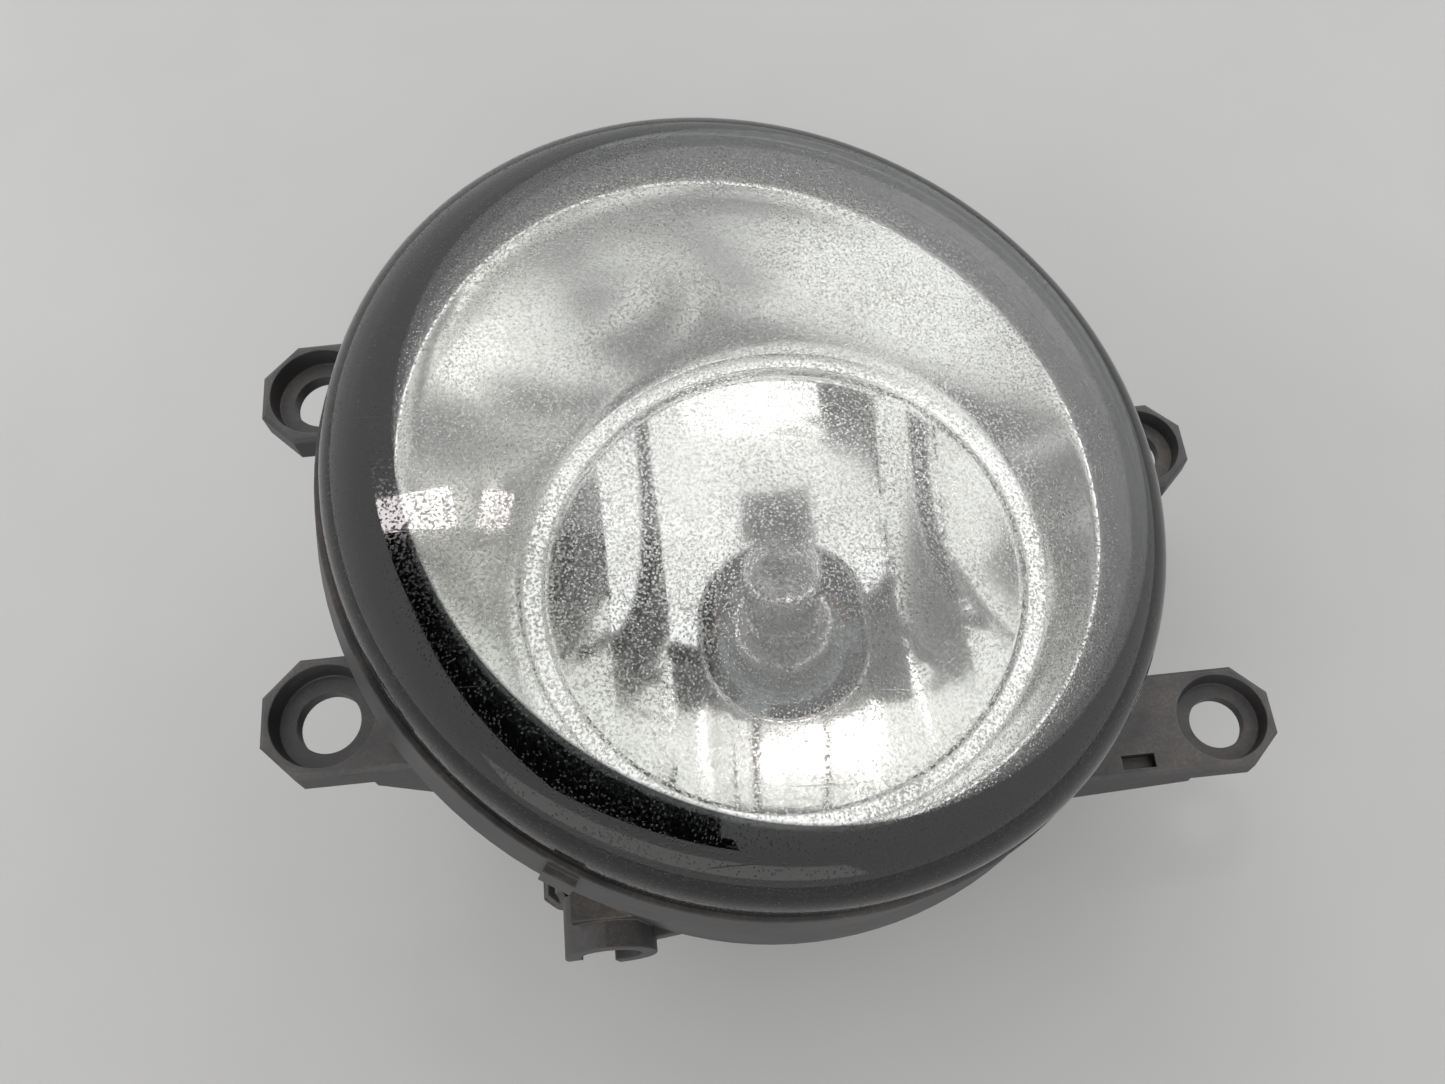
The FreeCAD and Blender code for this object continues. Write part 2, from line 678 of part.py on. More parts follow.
def round_ended(radius, low_z, tip_centre_z):
    """Upright round bar with a rounded foot and a domed tip."""
    foot_r = 1.5
    slant = math.sqrt(0.5)
    foot_middle = (radius - foot_r * (1 - slant), low_z + foot_r * (1 - slant))
    tip_middle = (radius * slant, tip_centre_z + radius * slant)
    return turned((0, low_z), (radius - foot_r, low_z), (foot_middle, (radius, low_z + foot_r)),
                  (radius, tip_centre_z), (tip_middle, (0, tip_centre_z + radius)))


def bulb_capsule():
    """Quartz capsule, hollow round the filament."""
    inner_r = capsule_r - 1.0
    tip_centre_z = capsule_tip_z - capsule_r
    hollow = round_ended(inner_r, pinch_top_z, tip_centre_z)
    return capsule_outside().cut(hollow)


def bulb_filament():
    """Tungsten coil on the optical axis, centred on the focus."""
    length = filament_turns * filament_pitch
    start_z = filament_z - length / 2
    path = Part.makeHelix(filament_pitch, length, coil_r)
    path.translate(V(0, 0, start_z))
    ring = Part.Wire(Part.Circle(V(coil_r, 0, start_z), Y_AXIS, filament_wire_r).toShape())
    return Part.Wire(path.Edges).makePipeShell([ring], True, True)


def filament_leads():
    """Two lead wires that rise from the pinch to the ends of the coil."""
    half = filament_turns * filament_pitch / 2
    upright_r = 0.3
    arm_r = 0.22
    wires = []
    for x, top_z in ((2.6, filament_z + half), (-1.6, filament_z - half)):
        side = 1 if x > 0 else -1
        upright = Part.makeCylinder(upright_r, top_z - pinch_top_z, V(x, 0, pinch_top_z), Z_AXIS)
        reach = abs(x) - coil_r - filament_wire_r - 0.02
        arm = Part.makeCylinder(arm_r, reach, V(x, 0, top_z - arm_r), V(-side, 0, 0))
        wires.append(upright.fuse(arm))
    return Part.makeCompound(wires)


def breather_caps():
    """Two rubber caps pushed over the breather spigots."""
    caps = []
    for spot in breathers:
        cap = Part.makeCylinder(cap_r, cap_h, spot - V(0, 0, cap_h + 0.4))
        cap = cap.fuse(Part.makeCylinder(cap_r + 0.7, 1.2, spot - V(0, 0, 1.6)))
        cap = cap.cut(Part.makeCylinder(spigot_r, spigot_h, spot - V(0, 0, spigot_h)))
        caps.append(cap)
    return Part.makeCompound(caps)


def breather_filters():
    """Foam plugs inside the spigots."""
    plugs = []
    for spot in breathers:
        plugs.append(Part.makeCylinder(spigot_bore_r - 0.05, filter_h, spot - V(0, 0, filter_h + 0.5)))
    return Part.makeCompound(plugs)


for make in (housing, front_lens, lens_sealant, reflector, pivot_pins, pivot_bushes,
             adjuster_wheel, adjuster_screw, adjuster_washer, adjuster_o_ring, adjuster_clip,
             adjuster_nut, adjuster_fork, fork_rivets, bulb_base, bulb_terminals, bulb_o_ring,
             bulb_collar, bulb_cement, bulb_capsule, bulb_filament, filament_leads,
             breather_caps, breather_filters):
    save(make(), make.__name__)
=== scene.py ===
# Round bumper fog light: the looks of its pieces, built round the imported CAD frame. Metres.
import bpy
import math
from mathutils import Matrix, Vector


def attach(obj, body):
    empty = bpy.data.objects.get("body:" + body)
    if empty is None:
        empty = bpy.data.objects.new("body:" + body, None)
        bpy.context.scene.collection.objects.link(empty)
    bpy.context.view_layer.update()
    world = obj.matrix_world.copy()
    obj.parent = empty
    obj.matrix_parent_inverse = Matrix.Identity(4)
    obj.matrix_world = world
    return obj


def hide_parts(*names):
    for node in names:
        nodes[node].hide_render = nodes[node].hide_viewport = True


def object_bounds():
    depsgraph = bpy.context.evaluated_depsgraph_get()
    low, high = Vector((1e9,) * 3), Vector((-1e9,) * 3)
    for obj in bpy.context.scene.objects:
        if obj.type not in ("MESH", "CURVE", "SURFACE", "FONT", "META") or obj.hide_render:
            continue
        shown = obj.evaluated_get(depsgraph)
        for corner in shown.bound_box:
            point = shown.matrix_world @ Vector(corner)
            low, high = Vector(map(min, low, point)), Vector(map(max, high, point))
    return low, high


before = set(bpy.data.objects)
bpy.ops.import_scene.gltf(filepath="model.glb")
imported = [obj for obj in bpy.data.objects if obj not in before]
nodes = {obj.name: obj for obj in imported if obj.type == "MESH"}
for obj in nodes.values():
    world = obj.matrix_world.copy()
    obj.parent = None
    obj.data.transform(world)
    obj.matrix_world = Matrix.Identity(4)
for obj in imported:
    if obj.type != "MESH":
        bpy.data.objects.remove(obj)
cad_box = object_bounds()
mm = 0.001

# Housing
# One black moulding in glass-filled nylon: the bowl, the four ears, the guide tube, the bosses and
# the bulb neck. It comes off the tool with a fine even grain and has greyed and gathered road dust.


def add(tree, kind, sockets=None, **settings):
    """Add one shader node; a socket is given a value or the output that feeds it."""
    node = tree.nodes.new("ShaderNode" + kind)
    for name, value in settings.items():
        setattr(node, name, value)
    for name, value in (sockets or {}).items():
        if isinstance(value, bpy.types.NodeSocket):
            tree.links.new(value, node.inputs[name])
        else:
            node.inputs[name].default_value = value
    return node


def new_group(name, inputs, outputs):
    """Start a shader node group with named sockets."""
    made = bpy.data.node_groups.new(name, "ShaderNodeTree")
    for label, kind, value in inputs:
        made.interface.new_socket(label, in_out="INPUT", socket_type=kind).default_value = value
    for label, kind in outputs:
        made.interface.new_socket(label, in_out="OUTPUT", socket_type=kind)
    return made, made.nodes.new("NodeGroupInput").outputs, made.nodes.new("NodeGroupOutput")


def use_group(tree, group, **values):
    """Place a group in a material with its own values."""
    node = tree.nodes.new("ShaderNodeGroup")
    node.node_tree = group
    for name, value in values.items():
        node.inputs[name.replace("_", " ").title()].default_value = value
    return node.outputs


def new_material(name, color, roughness, metallic=0.0):
    """Start a material and set the plain values on its shader."""
    made = bpy.data.materials.new(name)
    made.use_nodes = True
    shader = made.node_tree.nodes["Principled BSDF"]
    shader.inputs["Base Color"].default_value = (*color, 1.0)
    shader.inputs["Roughness"].default_value = roughness
    shader.inputs["Metallic"].default_value = metallic
    return made, made.node_tree, shader


def blend_colors(tree, mask, low, high):
    """Colour that runs from low to high as the mask rises."""
    node = add(tree, "Mix", data_type="RGBA")
    for index, value in ((0, mask), (6, low), (7, high)):
        if isinstance(value, bpy.types.NodeSocket):
            tree.links.new(value, node.inputs[index])
        else:
            node.inputs[index].default_value = (*value, 1.0)
    return node.outputs[2]


def finish(name, material):
    """Give a CAD node its material."""
    nodes[name].data.materials.clear()
    nodes[name].data.materials.append(material)


# Fine grain and slow mottle of a moulded or cast skin
grain, given, out = new_group(
    "moulded_grain",
    [("Grain Scale", "NodeSocketFloat", 3500.0), ("Mottle Scale", "NodeSocketFloat", 60.0)],
    [("Height", "NodeSocketFloat"), ("Mottle", "NodeSocketFloat")])
place = add(grain, "TexCoord").outputs["Object"]
fine = add(grain, "TexNoise", {"Vector": place, "Scale": given["Grain Scale"], "Detail": 3.0})
slow = add(grain, "TexNoise", {"Vector": place, "Scale": given["Mottle Scale"], "Detail": 5.0,
                               "Roughness": 0.62})
grain.links.new(fine.outputs["Fac"], out.inputs["Height"])
spread = add(grain, "MapRange", {"Value": slow.outputs["Fac"], "From Min": 0.35, "From Max": 0.68})
grain.links.new(spread.outputs["Result"], out.inputs["Mottle"])

# Dust: it lies thicker where a face looks up, and in patches
dust, given, out = new_group(
    "dust",
    [("Patch Scale", "NodeSocketFloat", 90.0), ("Speck Scale", "NodeSocketFloat", 2200.0),
     ("Amount", "NodeSocketFloat", 0.5)],
    [("Mask", "NodeSocketFloat")])
place = add(dust, "TexCoord").outputs["Object"]
facing = add(dust, "SeparateXYZ", {"Vector": add(dust, "NewGeometry").outputs["Normal"]})
upward = add(dust, "MapRange", {"Value": facing.outputs["Z"], "From Min": -0.3, "From Max": 1.0})
patch = add(dust, "TexNoise", {"Vector": place, "Scale": given["Patch Scale"], "Detail": 6.0,
                               "Roughness": 0.7})
patch = add(dust, "MapRange", {"Value": patch.outputs["Fac"], "From Min": 0.4, "From Max": 0.75})
speck = add(dust, "TexNoise", {"Vector": place, "Scale": given["Speck Scale"], "Detail": 2.0})
speck = add(dust, "MapRange", {"Value": speck.outputs["Fac"], "From Min": 0.45, "From Max": 0.7})
both = add(dust, "Math", {0: patch.outputs["Result"], 1: speck.outputs["Result"]},
           operation="MULTIPLY_ADD")
dust.links.new(patch.outputs["Result"], both.inputs[2])
lying = add(dust, "Math", {0: both.outputs[0], 1: upward.outputs["Result"]}, operation="MULTIPLY")
mask = add(dust, "Math", {0: lying.outputs[0], 1: given["Amount"]}, operation="MULTIPLY",
           use_clamp=True)
dust.links.new(mask.outputs[0], out.inputs["Mask"])

# Edges: a small rounding of sharp corners, and a mask of where they are rubbed
edges, given, out = new_group(
    "rubbed_edges",
    [("Patch Scale", "NodeSocketFloat", 160.0)],
    [("Mask", "NodeSocketFloat"), ("Normal", "NodeSocketVector")])
place = add(edges, "TexCoord").outputs["Object"]
rounded = add(edges, "Bevel", {"Radius": 0.35 * mm}, samples=4).outputs["Normal"]
flat = add(edges, "NewGeometry").outputs["Normal"]
turn = add(edges, "VectorMath", {0: rounded, 1: flat}, operation="DOT_PRODUCT")
edge = add(edges, "MapRange", {"Value": turn.outputs["Value"], "From Min": 0.985, "From Max": 0.86})
patch = add(edges, "TexNoise", {"Vector": place, "Scale": given["Patch Scale"], "Detail": 5.0})
patch = add(edges, "MapRange", {"Value": patch.outputs["Fac"], "From Min": 0.35, "From Max": 0.62})
worn = add(edges, "Math", {0: edge.outputs["Result"], 1: patch.outputs["Result"]},
           operation="MULTIPLY")
edges.links.new(worn.outputs[0], out.inputs["Mask"])
edges.links.new(rounded, out.inputs["Normal"])


def moulded(name, dark, light, rubbed, dust_color, roughness, relief, amount):
    """Moulded plastic or rubber: two tones of the skin, rubbed edges, dust, grain and gloss."""
    made, tree, shader = new_material(name, dark, roughness)
    skin = use_group(tree, grain)
    edge_of = use_group(tree, edges)
    dust_of = use_group(tree, dust, amount=amount)
    tone = blend_colors(tree, skin["Mottle"], dark, light)
    tone = blend_colors(tree, edge_of["Mask"], tone, rubbed)
    tone = blend_colors(tree, dust_of["Mask"], tone, dust_color)
    tree.links.new(tone, shader.inputs["Base Color"])
    gloss_swing = 0.06
    gloss = add(tree, "MapRange", {"Value": skin["Mottle"], "To Min": roughness - gloss_swing,
                                   "To Max": roughness + gloss_swing})
    tree.links.new(gloss.outputs["Result"], shader.inputs["Roughness"])
    bump = add(tree, "Bump", {"Height": skin["Height"], "Normal": edge_of["Normal"],
                              "Distance": relief, "Strength": 0.5})
    tree.links.new(bump.outputs["Normal"], shader.inputs["Normal"])
    return made


road_dust = (0.17, 0.145, 0.115)
housing_black = moulded("housing_black_nylon", (0.018, 0.018, 0.0195), (0.032, 0.031, 0.034),
                        (0.085, 0.083, 0.086), road_dust, 0.5, 0.05 * mm, 0.3)
finish("housing", housing_black)

# Tilt pivots
# Two ground steel pins pressed into the side walls, and two natural acetal bushes in the bores of
# the reflector's lugs. The pins are left bare, and the bushes carry no dye.


def metal(name, color, tarnish, roughness, scale):
    """Bare or plated metal with a fine grain, tarnish and uneven gloss."""
    made, tree, shader = new_material(name, color, roughness, 1.0)
    dulling = 0.15
    skin = use_group(tree, grain, grain_scale=scale, mottle_scale=240.0)
    tree.links.new(blend_colors(tree, skin["Mottle"], color, tarnish), shader.inputs["Base Color"])
    gloss = add(tree, "MapRange", {"Value": skin["Mottle"], "To Min": roughness,
                                   "To Max": roughness + dulling})
    tree.links.new(gloss.outputs["Result"], shader.inputs["Roughness"])
    bump = add(tree, "Bump", {"Height": skin["Height"], "Distance": 0.01 * mm, "Strength": 0.4})
    tree.links.new(bump.outputs["Normal"], shader.inputs["Normal"])
    return made


ground_steel = metal("ground_steel", (0.62, 0.61, 0.6), (0.42, 0.41, 0.4), 0.28, 5200.0)
natural_acetal = moulded("natural_acetal", (0.72, 0.69, 0.6), (0.8, 0.77, 0.7), (0.84, 0.82, 0.77),
                         road_dust, 0.42, 0.02 * mm, 0.1)
finish("pivot_pins", ground_steel)
finish("pivot_bushes", natural_acetal)

# Reflector
# A thermoset moulding, vacuum metallised inside: a bowl with upright optical columns round an oval
# bulb opening, a ledge, and a plain skirt that opens to the swept lens. It hangs on the two lugs.
lens_sweep = math.radians(16.0)
lens_lean = math.radians(2.0)
rim_centre = Vector((-1.5, 0.8, 31.0)) * mm
lens_frame = (Matrix.Translation(rim_centre) @ Matrix.Rotation(lens_lean, 4, "X")
              @ Matrix.Rotation(lens_sweep, 4, "Y"))
focal = 16.0
apex_z = -20.0
bowl_r = 34.8
ledge_z = apex_z + bowl_r ** 2 / (4 * focal) + 1.2
ledge_r = 37.6
ledge_rise = 0.6
rim_r, rim_w = 46.0, -5.5
rim_shift_x, rim_shift_y = 1.5, 2.0
wall, skirt_wall = 2.0, 1.0
opening_half_w = 12.6
opening_low_y, opening_high_y = -16.5, 13.5
column_edges = (9.3, 17.6, 26.0)
column_depths = (0.0, 0.12, 0.5, 0.5)
around = 288


def opening_reach(angle):
    """Distance from the axis to the edge of the oval bulb opening, in millimetres."""
    cosine, sine = math.cos(angle), math.sin(angle)
    side = opening_half_w / max(abs(cosine), 1e-9)
    if opening_low_y + opening_half_w <= side * sine <= opening_high_y - opening_half_w:
        return side
    centre_y = (opening_high_y - opening_half_w) if sine > 0 else (opening_low_y + opening_half_w)
    return sine * centre_y + math.sqrt(opening_half_w ** 2 - (cosine * centre_y) ** 2)


def dish(x, y):
    """Height of the bowl with its optical columns, in millimetres."""
    height = apex_z + (x * x + y * y) / (4 * focal)
    inner = 0.0
    for outer, depth in zip((*column_edges, bowl_r), column_depths):
        if inner < abs(x) <= outer:
            across = (2 * abs(x) - inner - outer) / (outer - inner)
            height += depth * (1 - across * across)
        inner = outer
    return height


def flat_ring(radius, height):
    """Maker of a level circle's points."""
    return lambda a: Vector((radius * math.cos(a), radius * math.sin(a), height)) * mm


def rim_ring(radius, w):
    """Maker of the points of a circle parallel to the lens rim."""
    return lambda a: lens_frame @ (Vector((radius * math.cos(a) + rim_shift_x,
                                           radius * math.sin(a) + rim_shift_y, w)) * mm)


def bowl_ring(share, drop=0.0):
    """Maker of the points of a bowl ring: 0 at the opening's edge, 1 at the bowl's edge."""
    def point(a):
        reach = (1 - share) * opening_reach(a) + share * bowl_r
        x, y = reach * math.cos(a), reach * math.sin(a)
        return Vector((x, y, dish(x, y) - drop)) * mm
    return point


def between_rings(low, high, share):
    """Maker of points part of the way from one ring to another."""
    return lambda a: low(a).lerp(high(a), share)


def select_vertices(mesh, *rings):
    """Select some rings of vertices, and the edges that run round each of them."""
    for vertex in mesh.vertices:
        vertex.select = any(vertex.index in ring for ring in rings)
    for edge in mesh.edges:
        edge.select = any(all(index in ring for index in edge.vertices) for ring in rings)


def shell_of_rings(name, rings):
    """Extrude a circle from ring to ring, and join the last ring to the first."""
    bpy.ops.object.select_all(action="DESELECT")
    bpy.ops.mesh.primitive_circle_add(vertices=around, radius=1.0, fill_type="NOTHING")
    shell = bpy.context.object
    shell.name = name
    mesh = shell.data
    angles = [2 * math.pi * step / around for step in range(around)]
    for index in range(around):
        mesh.vertices[index].co = rings[0](angles[index])
    for ring in rings[1:]:
        first = len(mesh.vertices)
        last_ring = range(first - around, first)
        order = {tuple(mesh.vertices[index].co): index - last_ring.start for index in last_ring}
        select_vertices(mesh, last_ring)
        bpy.ops.object.mode_set(mode="EDIT")
        bpy.ops.mesh.extrude_edges_move()
        bpy.ops.object.mode_set(mode="OBJECT")
        for index in range(first, first + around):
            step = order[tuple(mesh.vertices[index].co)]
            mesh.vertices[index].co = ring(angles[step])
    select_vertices(mesh, range(around), range(len(mesh.vertices) - around, len(mesh.vertices)))
    bpy.ops.object.mode_set(mode="EDIT")
    bpy.ops.mesh.bridge_edge_loops()
    bpy.ops.mesh.select_all(action="SELECT")
    bpy.ops.mesh.normals_make_consistent(inside=False)
    bpy.ops.object.mode_set(mode="OBJECT")
    return shell


# Inside, from the opening's rounded edge over the bowl, the step and the ledge to the rolled rim
opening_steps, skirt_steps, skin_steps = 26, 12, 10
edge_share = 0.006
ledge_edge, skirt_top = flat_ring(ledge_r, ledge_z + ledge_rise), rim_ring(rim_r, rim_w - 0.5)
bowl_rings = [bowl_ring(edge_share + (1 - edge_share) * step / opening_steps)
              for step in range(opening_steps + 1)]
edge_rings = [bowl_ring(0.0, 0.5), bowl_ring(0.0, 0.1)]
inside_rings = edge_rings + bowl_rings
inside_rings += [flat_ring(radius, ledge_z + rise) for radius, rise in
                 ((34.9, -0.3), (35.05, -0.08), (35.3, 0.0), (37.2, 0.33), (37.5, 0.48))]
inside_rings += [between_rings(ledge_edge, skirt_top, step / skirt_steps)
                 for step in range(skirt_steps + 1)]
inside_rings += [rim_ring(rim_r + 0.12, rim_w - 0.15), rim_ring(rim_r + 0.5, rim_w)]

# Outside, from the rim down the skirt's skin and under the bowl, back to the opening
skin_r = ledge_r + wall
skin_edge, skin_top = flat_ring(skin_r, ledge_z), rim_ring(rim_r + skirt_wall, rim_w - 0.5)
outside_rings = [rim_ring(rim_r + 0.9, rim_w - 0.1)]
outside_rings += [between_rings(skin_edge, skin_top, 1 - step / skin_steps)
                  for step in range(skin_steps + 1)]
outside_rings += [flat_ring(skin_r, ledge_z - 3.5)]
outside_rings += [bowl_ring(share, wall) for share in (0.97, 0.8, 0.6, 0.4, 0.2, 0.0)]
reflector = shell_of_rings("reflector_shell", inside_rings + outside_rings)
mesh = reflector.data
mirror_slot, back_slot, bowl_slot = 0, 1, 2
for polygon in mesh.polygons:
    bands = [index // around for index in polygon.vertices]
    if max(bands) >= len(inside_rings) and min(bands) > 0:
        polygon.material_index = back_slot
    elif min(bands) >= len(edge_rings) and max(bands) < len(edge_rings) + len(bowl_rings):
        polygon.material_index = bowl_slot
    else:
        polygon.material_index = mirror_slot


def aluminised(name, roughness, haze):
    """Bright metallised coat: a faint haze, slow waviness, fine specks and a little dust."""
    made, tree, shader = new_material(name, (0.88, 0.885, 0.89), roughness, 1.0)
    skin = use_group(tree, grain, grain_scale=900.0, mottle_scale=70.0)
    dust_of = use_group(tree, dust, amount=haze)
    tone = blend_colors(tree, skin["Mottle"], (0.91, 0.915, 0.9), (0.85, 0.855, 0.835))
    tone = blend_colors(tree, dust_of["Mask"], tone, (0.5, 0.46, 0.4))
    tree.links.new(tone, shader.inputs["Base Color"])
    dusty_roughness = roughness + 0.35
    soft = add(tree, "MapRange", {"Value": dust_of["Mask"], "To Min": roughness,
                                  "To Max": dusty_roughness})
    tree.links.new(soft.outputs["Result"], shader.inputs["Roughness"])
    bump = add(tree, "Bump", {"Height": skin["Height"], "Distance": 0.012 * mm, "Strength": 0.5})
    tree.links.new(bump.outputs["Normal"], shader.inputs["Normal"])
    return made


mirror = aluminised("aluminised_skirt", 0.13, 0.1)
bowl_mirror = aluminised("aluminised_bowl", 0.05, 0.1)
bare_moulding = moulded("bare_grey_moulding", (0.05, 0.05, 0.049), (0.075, 0.073, 0.07),
                        (0.14, 0.14, 0.135), road_dust, 0.6, 0.03 * mm, 0.2)
for piece in (mirror, bare_moulding, bowl_mirror):
    mesh.materials.append(piece)

# The bowl is cut along the columns' edges, and its points are set on the columned surface.
for side in (-1, 1):
    for edge_x in column_edges:
        bpy.ops.object.mode_set(mode="EDIT")
        bpy.ops.mesh.select_mode(type="FACE")
        bpy.ops.mesh.select_all(action="DESELECT")
        reflector.active_material_index = bowl_slot
        bpy.ops.object.material_slot_select()
        bpy.ops.mesh.bisect(plane_co=(side * edge_x * mm, 0, 0), plane_no=(1, 0, 0))
        bpy.ops.object.mode_set(mode="OBJECT")
in_bowl = {index for polygon in mesh.polygons if polygon.material_index == bowl_slot
           for index in polygon.vertices}
for index in in_bowl:
    x, y, _ = mesh.vertices[index].co / mm
    mesh.vertices[index].co.z = dish(x, y) * mm
bpy.ops.object.shade_smooth()
edge_tolerance = 1e-3
for edge in mesh.edges:
    x_near, x_far = [mesh.vertices[index].co.x / mm for index in edge.vertices]
    on_column = any(abs(abs(x_near) - edge_x) < edge_tolerance
                    and abs(x_near - x_far) < edge_tolerance for edge_x in column_edges)
    edge.use_edge_sharp = on_column and set(edge.vertices) <= in_bowl


def back_of_wall(y, z):
    """How far out the middle of the reflector's wall lies at a height, in millimetres."""
    skirt_slope, bowl_top_z = 0.3, ledge_z - 1.8
    if z < bowl_top_z:
        radius = math.sqrt(4 * focal * (z - apex_z + wall / 2))
    else:
        radius = ledge_r + wall / 2 + max(0.0, z - ledge_z) * skirt_slope
    return math.sqrt(max(radius * radius - y * y, 0.0))


# Two lugs stand out from the skirt, each bored for its bush.
lug_r, lug_end_x, lug_blank = 5.4, 43.6, 4.0
bush_r, lug_bore_x = 3.9, 39.3
lug_mid_x = lug_end_x - lug_blank / 2
extras = []
for side in (-1, 1):
    bpy.ops.mesh.primitive_cylinder_add(
        vertices=64, radius=lug_r * mm, depth=lug_blank * mm, end_fill_type="NGON",
        location=(side * lug_mid_x * mm, 0, 0), rotation=(0, side * math.pi / 2, 0))
    lug = bpy.context.object
    bpy.ops.object.transform_apply(location=True, rotation=True, scale=True)
    caps = [face for face in lug.data.polygons if len(face.vertices) > 4]
    outer_face = max(caps, key=lambda face: abs(face.center.x))
    inner_ring = [vertex for vertex in lug.data.vertices if abs(vertex.co.x) < lug_mid_x * mm]
    for vertex in inner_ring:
        vertex.co.x = side * back_of_wall(vertex.co.y / mm, vertex.co.z / mm) * mm
    for face in lug.data.polygons:
        face.select = face.index == outer_face.index
    for vertex in lug.data.vertices:
        vertex.select = vertex.index in outer_face.vertices
    bpy.ops.object.mode_set(mode="EDIT")
    bpy.ops.mesh.select_mode(type="FACE")
    bpy.ops.mesh.inset(thickness=(lug_r - bush_r) * mm)
    bpy.ops.mesh.extrude_region_move(
        TRANSFORM_OT_translate={"value": (side * (lug_bore_x - lug_end_x) * mm, 0, 0)})
    bpy.ops.object.mode_set(mode="OBJECT")
    extras.append(lug)

# The pad for the fork's rivets stands on the back of the bowl.
pad_low, pad_high = Vector((-26.5, -20.3, -22.0)), Vector((-14.5, -10.0, -4.0))
pad_cuts = 9
bpy.ops.mesh.primitive_cube_add(size=1.0)
pad = bpy.context.object
for vertex in pad.data.vertices:
    vertex.co = [(low + (high - low) * (0.5 + part)) * mm
                 for low, high, part in zip(pad_low, pad_high, vertex.co)]
bpy.ops.object.mode_set(mode="EDIT")
bpy.ops.mesh.select_all(action="SELECT")
bpy.ops.mesh.subdivide(number_cuts=pad_cuts)
bpy.ops.object.mode_set(mode="OBJECT")
for vertex in pad.data.vertices:
    x, y, z = vertex.co / mm
    top = apex_z - wall / 2 + (x * x + y * y) / (4 * focal)
    share = (z - pad_low.z) / (pad_high.z - pad_low.z)
    vertex.co.z = (pad_low.z + share * (top - pad_low.z)) * mm
extras.append(pad)
smooth_angle = math.radians(35.0)
for piece in extras:
    piece.data.materials.append(bare_moulding)
    bpy.ops.object.select_all(action="DESELECT")
    piece.select_set(True)
    bpy.context.view_layer.objects.active = piece
    bpy.ops.object.shade_smooth_by_angle(angle=smooth_angle)
bpy.ops.object.select_all(action="DESELECT")
for piece in extras + [reflector]:
    piece.select_set(True)
bpy.context.view_layer.objects.active = reflector
bpy.ops.object.join()
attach(reflector, "reflector_unit")
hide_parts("reflector")

# Aiming gear
# A zinc-plated screw with a moulded toothed wheel turns in the housing; its nut carries a pressed
# steel fork that is riveted to the reflector. A washer takes the thrust, a spring clip holds the
# screw in its boss, and a rubber ring keeps the water out.
zinc_plate = metal("zinc_plate", (0.66, 0.65, 0.61), (0.45, 0.43, 0.36), 0.3, 4200.0)
pressed_steel = metal("pressed_steel", (0.5, 0.5, 0.5), (0.3, 0.29, 0.28), 0.34, 3600.0)
aluminium_rivet = metal("aluminium_rivet", (0.78, 0.78, 0.79), (0.6, 0.6, 0.6), 0.3, 4600.0)
spring_steel = metal("spring_steel", (0.2, 0.21, 0.24), (0.12, 0.12, 0.13), 0.36, 4800.0)
wheel_nylon = moulded("wheel_nylon", (0.022, 0.022, 0.024), (0.038, 0.037, 0.038),
                      (0.1, 0.098, 0.095), road_dust, 0.48, 0.03 * mm, 0.5)
nut_acetal = moulded("nut_acetal", (0.66, 0.65, 0.6), (0.74, 0.73, 0.69), (0.8, 0.79, 0.75),
                     road_dust, 0.4, 0.02 * mm, 0.1)
black_rubber = moulded("black_rubber", (0.016, 0.016, 0.016), (0.03, 0.029, 0.028),
                       (0.05, 0.05, 0.048), road_dust, 0.68, 0.03 * mm, 0.2)
finish("adjuster_fork", pressed_steel)
finish("fork_rivets", aluminium_rivet)
finish("adjuster_nut", nut_acetal)
finish("adjuster_screw", zinc_plate)
finish("adjuster_wheel", wheel_nylon)
finish("adjuster_washer", zinc_plate)
finish("adjuster_clip", spring_steel)
finish("adjuster_o_ring", black_rubber)

# Bulb
# A quartz capsule potted with ceramic cement in a plated steel cup, on a moulded bayonet base with
# the connector at the back. A silicone ring seals it to the housing.
base_plastic = moulded("base_plastic", (0.045, 0.048, 0.052), (0.07, 0.073, 0.078),
                       (0.13, 0.135, 0.14), road_dust, 0.42, 0.04 * mm, 0.15)

# Painted light: the inner face is painted pale, turning to the outside's dark tone below the
# flange.
painted_light_tone = (0.72, 0.78, 0.8)
dark_below_z, pale_above_z = -33.5, -31.0
tree = base_plastic.node_tree
shader = tree.nodes["Principled BSDF"]
height = add(tree, "SeparateXYZ", {"Vector": add(tree, "TexCoord").outputs["Object"]}).outputs["Z"]
inside = add(tree, "MapRange", {"Value": height, "From Min": dark_below_z * mm,
                                "From Max": pale_above_z * mm})
tone = blend_colors(tree, inside.outputs["Result"],
                    shader.inputs["Base Color"].links[0].from_socket, painted_light_tone)
tree.links.new(tone, shader.inputs["Base Color"])
silicone = moulded("orange_silicone", (0.5, 0.12, 0.03), (0.6, 0.17, 0.05), (0.65, 0.24, 0.1),
                   road_dust, 0.5, 0.02 * mm, 0.2)
cement = moulded("ceramic_cement", (0.55, 0.53, 0.48), (0.7, 0.68, 0.63), (0.74, 0.73, 0.7),
                 road_dust, 0.85, 0.15 * mm, 0.1)
tinned_brass = metal("tinned_brass", (0.72, 0.7, 0.64), (0.58, 0.52, 0.38), 0.28, 5000.0)
tungsten = metal("tungsten", (0.3, 0.29, 0.29), (0.2, 0.19, 0.2), 0.38, 9000.0)
molybdenum_wire = metal("molybdenum_wire", (0.62, 0.6, 0.56), (0.42, 0.4, 0.37), 0.3, 8000.0)
finish("bulb_base", base_plastic)
finish("bulb_o_ring", silicone)
finish("bulb_terminals", tinned_brass)
